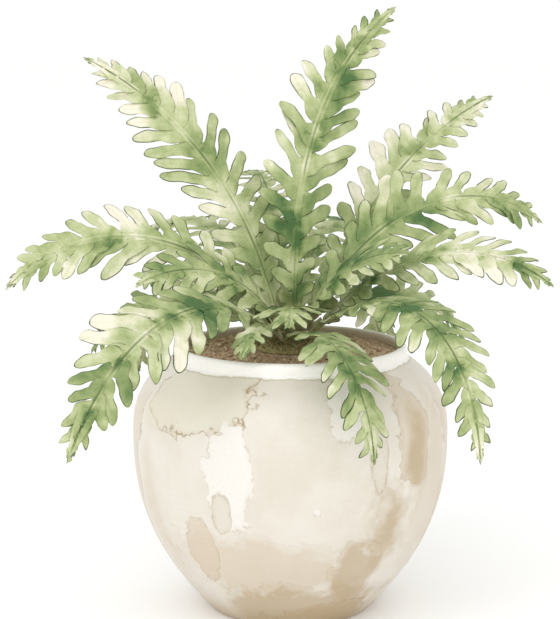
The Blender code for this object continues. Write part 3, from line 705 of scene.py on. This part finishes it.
def lobes(name, habit, line, draw):
    """All lobes of a frond as one array of closed strips, with u from foot to tip and v across.

    Lobe middle: foot + length * (running sum of its direction) - face * length * droop * u^2, the
    direction leaning from the midrib by lean less bend * u. Half width: broad at the foot, where
    lobes are joined, then a narrow waist, slightly clubbed, and closed by a half ellipse at the tip,
    with waves along both margins. Pale and merged lobes stay joined further out, young fronds have
    broader lobes, and towards the frond's tip lobes get narrow, pointed and calm. The last lobe
    follows the midrib itself and narrows as 1 - u^2. Across, a point stands at v * width, folded
    up from the middle, and the leaf is as thick as the root of 1 - v^2.

    leaf holds, in mm, the way along the lobe, the way across it and the distance from its margin;
    tone holds the share of the frond's length, the lobe's own tint and how far it has faded."""
    index = np.repeat(np.arange(-LOW_PAIRS, habit.pairs), 2) + 0.5
    hand = np.tile([1.0, -1.0], habit.pairs + LOW_PAIRS)
    index = index + 0.2 * hand + draw.normal(0, 0.08, len(index))
    place = np.clip(index / habit.pairs, -0.5, LAST_PLACE)
    share = habit.bare + (1 - habit.bare) * np.sign(place) * np.abs(place) ** 0.94
    count = len(place)
    pitch = (1 - habit.bare) * habit.length / habit.pairs * 0.94
    narrowing = 1 - 0.50 * smooth_step((place - 0.80) / 0.20)
    spacing = pitch * np.clip(place, 0.05, 1) ** -0.06 * narrowing
    pale = faded_at(name, place, hand)
    ragged = draw.uniform(0.84, 1.07, count) * (1 + 0.12 * np.clip(pale, 0, 1))
    length = lobe_length(habit, place) * ragged
    lean = np.radians(62 - 22 * np.clip(place, 0, 1) + draw.normal(0, 4.5, count))
    bend = np.radians(draw.uniform(2, 16, count))
    droop = draw.uniform(0.12, 0.26, count)
    calm = 1 - 0.75 * smooth_step((place - 0.75) / 0.25)
    twist = np.radians(draw.normal(0, 11, count)) * calm
    # the lobe that ends the frond
    place, share = np.append(place, 1.0), np.append(share, TIP_FROM)
    hand, spacing = np.append(hand, 1.0), np.append(spacing, pitch)
    length = np.append(length, (1 - TIP_FROM) * habit.length)
    lean, bend = np.append(lean, 0.0), np.append(bend, 0.0)
    droop, twist, pale = np.append(droop, 0.0), np.append(twist, 0.0), np.append(pale, pale[-1])
    count += 1

    keys = ("point", "side", "along", "face")
    foot, side, along, face = (read_line(line, key, share)[:, None] for key in keys)
    side = side * hand[:, None, None]
    u = np.sin(np.linspace(0, np.pi / 2, STATIONS) * 0.985)
    angle = (lean[:, None] - bend[:, None] * u)[..., None]
    way = side * np.sin(angle) + along * np.cos(angle)
    square = along * np.sin(angle) - side * np.cos(angle)
    joint = (1 - smooth_step(u / 0.38))[:, None]
    across = (along * joint + square * (1 - joint)) * hand[:, None, None]
    across = across / np.linalg.norm(across, axis=-1)[..., None]
    run = np.diff(u, prepend=0)[:, None]
    droop_now = (length[:, None] * droop[:, None] * u**2)[..., None]
    middle = foot + np.cumsum(way * run, axis=1) * length[:, None, None] - face * droop_now
    tau = (twist[:, None] * u)[..., None]
    face_now = face * np.cos(tau) - across * np.sin(tau)
    across = across * np.cos(tau) + face * np.sin(tau)
    # the last lobe lies on the midrib
    last = TIP_FROM + (1 - TIP_FROM) * u
    keys = ("point", "side", "face")
    middle[-1], across[-1], face_now[-1] = (read_line(line, key, last) for key in keys)

    young = np.clip((0.14 - habit.length) / 0.05, 0, 1)
    web = smooth_step((place - 0.70) / 0.30)[:, None]
    waist = (0.70 + 0.12 * web + 0.18 * young) * np.sin(angle[..., 0])
    run_together = np.clip(0.30 * pale + merged_at(name, place, hand), 0, 0.6)[:, None]
    joined = 0.32 + 0.2 * web + run_together
    foot_width = 1.20 * (1 - smooth_step((u - 0.12 - 0.10 * young) / joined))
    club = 0.08 * smooth_step((u - 0.40) / 0.35)
    half = spacing[:, None] / 2 * (np.maximum(waist, foot_width) + club)
    half = half * (1 + 0.35 * np.clip(pale, 0, 1)[:, None] * smooth_step((u - 0.3) / 0.5))
    blunt = np.clip(1.35 * spacing / 2 / length, 0.12, 0.75)[:, None]
    cap = np.sqrt(np.clip(1 - np.clip((u - (1 - blunt)) / blunt, 0, 1) ** 2.0, 0, 1))
    half = half * cap * (1 - 0.60 * web * u**1.4)
    half[-1] = np.clip(pitch * 0.36 * (1 - u**2), 0.0001, 1)
    phase = draw.uniform(0, 2 * np.pi, (count, 4, 1))
    swell = 0.075 * np.sin(9 * u + phase[:, 0]) + 0.05 * np.sin(21 * u + phase[:, 1])
    swell_far = 0.075 * np.sin(8 * u + phase[:, 2]) + 0.05 * np.sin(19 * u + phase[:, 3])
    calm = np.append(calm, 0.4)[:, None]
    near, far = half * (1 + swell * calm), half * (1 + swell_far * calm)

    t = np.sin(np.linspace(-np.pi / 2, np.pi / 2, ROUND_HALF + 1))
    v = np.concatenate([t, t[-2:0:-1]])
    upper = np.concatenate([np.ones(ROUND_HALF + 1), -np.ones(ROUND_HALF - 1)])
    sideways = np.where(v < 0, near[..., None], far[..., None]) * v
    lens = np.sqrt(1 - v**2) * LEAF_THICKNESS + MARGIN_THICKNESS * (np.abs(v) < 0.999)
    lens = lens * np.clip(half / 0.0012, 0.15, 1)[..., None]
    groove = 0.00022 * np.exp(-((v / 0.22) ** 2)) * (upper > 0)
    loose = smooth_step(u / 0.5)[:, None]
    fold = 0.20 * np.abs(sideways) * loose
    wave = 0.14 * half[..., None] * v**2 * np.sin(11 * u + phase[:, 1] + 1.5)[..., None] * loose
    rise = upper * lens - groove + fold + wave
    points = middle[:, :, None] + across[:, :, None] * sideways[..., None]
    points = points + face_now[:, :, None] * rise[..., None]

    margin = np.where(v < 0, near[..., None], far[..., None]) * (1 - np.abs(v))
    to_tip = ((1 - u) * length[:, None])[..., None]
    margin = np.minimum(margin, to_tip)
    parted = smooth_step((u - 0.10 - 0.35 * joined) / 0.2)[..., None]
    parted[-1] = smooth_step((u - 0.55) / 0.3)[:, None]
    margin = margin + 0.004 * (1 - parted)
    out = (u * length[:, None])[..., None]
    leaf = np.stack(np.broadcast_arrays(out, sideways, margin), -1) * MM
    own = draw.uniform(-0.5, 0.5, count)[:, None, None]
    own = 0.5 + own * smooth_step((u - 0.1) / 0.4)[None, :, None]
    hand_here = hand[:, None, None]
    shift = sideways * hand_here * joint / ((1 - habit.bare) * habit.length)
    gone = faded_at(name, place[:, None, None] + shift, hand_here * np.ones_like(shift))
    toward_tip = smooth_step((u - 0.1) / 0.9)[None, :, None]
    gone = gone * np.where(gone > 0, toward_tip, 1 - 0.6 * toward_tip)
    tone = np.stack(np.broadcast_arrays(share[:, None, None], own, gone), -1)
    tone = np.broadcast_to(tone, points.shape)
    return points, leaf, tone


def stem(name, habit, line):
    """Stalk and midrib as one strip: a round section of STALK_RADIUS with a groove on top, easing
    over the start of the blade into a flat web, WEB_HALF_WIDTH each side, ridged along its middle.
    It has the same facts as the lobes, with -1 for the way along, so that its finish can tell it."""
    share = np.concatenate([np.linspace(0, habit.bare, 22)[:-1], np.linspace(habit.bare, 0.985, 70)])
    point, side, face = (read_line(line, key, share)[:, None] for key in ("point", "side", "face"))
    phi = np.linspace(np.pi, -np.pi, 17)[:-1]
    flat = smooth_step((share - 0.3 * habit.bare) / 0.16)[:, None]
    size = (1 - 0.62 * share)[:, None]
    web = WEB_HALF_WIDTH * (1 - 0.45 * share[:, None])
    x = np.cos(phi) * (STALK_RADIUS * size * (1 - flat) + web * flat)
    ridge = MIDRIB_RISE * size * np.exp(-((x / (0.0010 * size)) ** 2)) * flat
    leaf = np.sin(phi) * (STALK_RADIUS * size * (1 - flat) + 0.00030 * flat)
    groove = 0.42 * STALK_RADIUS * size * np.exp(-(((phi - np.pi / 2) / 0.35) ** 2)) * (1 - 0.55 * flat)
    y = leaf + np.sign(np.sin(phi)) * ridge * np.abs(np.sin(phi)) ** 0.5 - groove
    y = y + 0.18 * np.abs(x) * flat
    points = point + side * x[..., None] + face * y[..., None]
    blank = np.zeros_like(x)
    leaf = np.stack([blank - 1, x * MM, blank + 5], -1)
    gone = faded_at(name, (share - habit.bare) / (1 - habit.bare), np.zeros_like(share))
    tone = np.stack([share[:, None] + blank, blank + 0.5, np.minimum(gone, 0.2)[:, None] + blank], -1)
    return points[None], leaf[None], tone[None]


def frond_finish(name, lightness):
    """Leaf green laid on in washes: the wash sets how pale it is, from deep through mid green to
    cream, with the lobe's own tint, its fade, a little painted light near the crown and deep steeped
    patches near the midrib; then a broken darker line round each margin and along the midrib, the
    veins, and brown at the stalk's foot."""
    made, tree, shader, here = new_finish(name, 0.62)
    leaf = node(tree, "ShaderNodeAttribute", {}, attribute_name="leaf").outputs["Vector"]
    tone = node(tree, "ShaderNodeAttribute", {}, attribute_name="tone").outputs["Vector"]
    far_mm, off_mm, margin_mm = node(tree, "ShaderNodeSeparateXYZ", {0: leaf}).outputs
    share, own, faded = node(tree, "ShaderNodeSeparateXYZ", {0: tone}).outputs
    wash = maths(tree, "SUBTRACT", noise(tree, here, 19, 4, 0.6), 0.5)
    bloom = maths(tree, "SUBTRACT", noise(tree, here, 75, 4, 0.6), 0.5)
    pale = maths(tree, "MULTIPLY_ADD", wash, 1.8, lightness)
    pale = maths(tree, "MULTIPLY_ADD", bloom, 0.85, pale)
    pale = maths(tree, "MULTIPLY_ADD", maths(tree, "SUBTRACT", own, 0.5), 0.16, pale)
    # painted light: a little paler near the crown, lifting the shade there
    pale = maths(tree, "ADD", pale, eased(tree, share, 0.15, 0.55, 0.06, 0.02))
    pale = maths(tree, "MULTIPLY_ADD", eased(tree, far_mm, 6, 30), 0.13, pale)
    pale = maths(tree, "MULTIPLY_ADD", faded, 0.62, pale)
    steeped = eased(tree, noise(tree, here, 42, 4), 0.53, 0.66)
    steeped = maths(tree, "MULTIPLY", steeped, eased(tree, far_mm, 16, 1))
    pale = maths(tree, "MULTIPLY_ADD", steeped, -0.40, pale)
    ramp = node(tree, "ShaderNodeValToRGB", {0: pale})
    stops = (
        (0.0, LEAF_DEEP), (0.22, LEAF_GREEN), (0.45, LEAF_MID),
        (0.66, LEAF_LIGHT), (0.84, LEAF_PALE), (1.0, LEAF_CREAM),
    )
    while len(ramp.color_ramp.elements) < len(stops):
        ramp.color_ramp.elements.new(0.5)
    for stop, (at, tint) in zip(ramp.color_ramp.elements, stops):
        stop.position = at
        stop.color = (*tint, 1)
    broken = eased(tree, noise(tree, here, 60, 3), 0.42, 0.58, 0.15, 1.0)
    edge = maths(tree, "MULTIPLY", eased(tree, margin_mm, 0.95, 0.30), broken)
    colour = mixed(tree, edge, ramp.outputs[0], LEAF_LINE)
    aside = maths(tree, "ABSOLUTE", off_mm)
    on_midrib = eased(tree, far_mm, -0.4, -0.6)
    vein = eased(tree, aside, 0.38, 0.10, 0.0, 0.11)
    inked = eased(tree, noise(tree, here, 24, 2), 0.40, 0.60, 0.10, 1.0)
    inked = maths(tree, "MULTIPLY", on_midrib, inked)
    rib = maths(tree, "MULTIPLY", eased(tree, aside, 0.85, 0.30, 0.0, 0.72), inked)
    colour = mixed(tree, maths(tree, "MAXIMUM", vein, rib), colour, LEAF_LINE)
    slant = maths(tree, "MULTIPLY_ADD", aside, -0.9, far_mm)
    side_vein = maths(tree, "SINE", maths(tree, "MULTIPLY", slant, 2 * np.pi / 2.3))
    colour = mixed(tree, eased(tree, side_vein, 0.55, 1.0, 0.0, 0.06), colour, LEAF_GREEN)
    colour = mixed(tree, eased(tree, share, 0.13, 0.0, 0.0, 0.6), colour, STALK_BROWN)
    tree.links.new(colour, shader.inputs["Base Color"])
    relief = maths(tree, "MULTIPLY_ADD", side_vein, 0.25, noise(tree, here, 500, 3))
    add_relief(tree, shader, relief, 0.00018)
    shader.inputs["Specular IOR Level"].default_value = 0.35
    return made


frond_looks = {
    "frond_green": frond_finish("frond_green", 0.45),
    "frond_sage": frond_finish("frond_sage", 0.55),
}
slots = {part["node"]: part["material_slot"] for part in frame["record"]["subparts"]}
for number, (name, habit) in enumerate(FRONDS.items()):
    draw = np.random.default_rng(FROND_SEED + number)
    line = midrib(habit)
    blades = lobes(name, habit, line, draw)
    stalk = stem(name, habit, line)
    quads, tris = closed_strips(stalk[0])
    more_quads, more_tris = closed_strips(blades[0], stalk[0][..., 0].size)
    both = zip(stalk, blades)
    points, leaf, tone = (np.vstack([a.reshape(-1, 3), b.reshape(-1, 3)]) for a, b in both)
    quads = np.vstack([quads, more_quads])
    tris = np.vstack([tris, more_tris])
    look = frond_looks[slots[name]]
    frond = piece(name + "_leaf", points, quads, tris, look, leaf=leaf, tone=tone)
    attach(frond, "root")
    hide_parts(name)

# ------------------------------------------------------------------------------------- the room
# A pale floor to stand on, white light from all round, and three large soft lamps: the strongest
# from the upper left, one from the front and a weak one from the right.
floor_points = np.array([[-30, -30, 0], [30, -30, 0], [30, 30, 0], [-30, 30, 0]], float)
made, tree, shader, here = new_finish("paper_floor", 0.9)
shade = mixed(tree, noise(tree, here, 3), (0.955, 0.955, 0.95), (0.965, 0.965, 0.96))
tree.links.new(shade, shader.inputs["Base Color"])
floor = piece("floor", floor_points, np.array([[0, 1, 2, 3]]), np.zeros((0, 3), int), made)

SKY_STRENGTH = 1.04
world = bpy.data.worlds.new("studio")
bpy.context.scene.world = world
world.use_nodes = True
world.node_tree.nodes["Background"].inputs["Color"].default_value = (1.0, 1.0, 1.0, 1)
world.node_tree.nodes["Background"].inputs["Strength"].default_value = SKY_STRENGTH


def look_at(place, aim):
    """The turn that points -Z from place to aim with +Y up."""
    return (Vector(aim) - Vector(place)).to_track_quat("-Z", "Y").to_euler()


def lamp(name, place, aim, size, watts):
    """A square soft light at place that faces aim."""
    light = bpy.data.lights.new(name, "AREA")
    light.size = size
    light.energy = watts
    made = bpy.data.objects.new(name, light)
    made.location = place
    made.rotation_euler = look_at(place, aim)
    bpy.context.scene.collection.objects.link(made)


MIDDLE = (0.0, 0.0, 0.2)
lamp("key", (-1.6, -1.5, 1.9), MIDDLE, 1.4, 13)
lamp("front", (-0.2, -2.2, 0.9), MIDDLE, 1.2, 8)
lamp("fill", (1.8, -0.8, 1.0), MIDDLE, 1.6, 4)

CAMERA_PLACE = (-0.0067, -1.0783, 0.3646)
CAMERA_AIM = (-0.0067, 0.0, 0.1938)
CAMERA_LENS = 98.9           # mm, before a frame 36 mm wide
camera = bpy.data.objects.new("camera", bpy.data.cameras.new("camera"))
camera.data.lens = CAMERA_LENS
camera.data.sensor_width = 36
camera.location = CAMERA_PLACE
camera.rotation_euler = look_at(CAMERA_PLACE, CAMERA_AIM)
bpy.context.scene.collection.objects.link(camera)
bpy.context.scene.camera = camera
bpy.context.scene.view_settings.view_transform = "Standard"
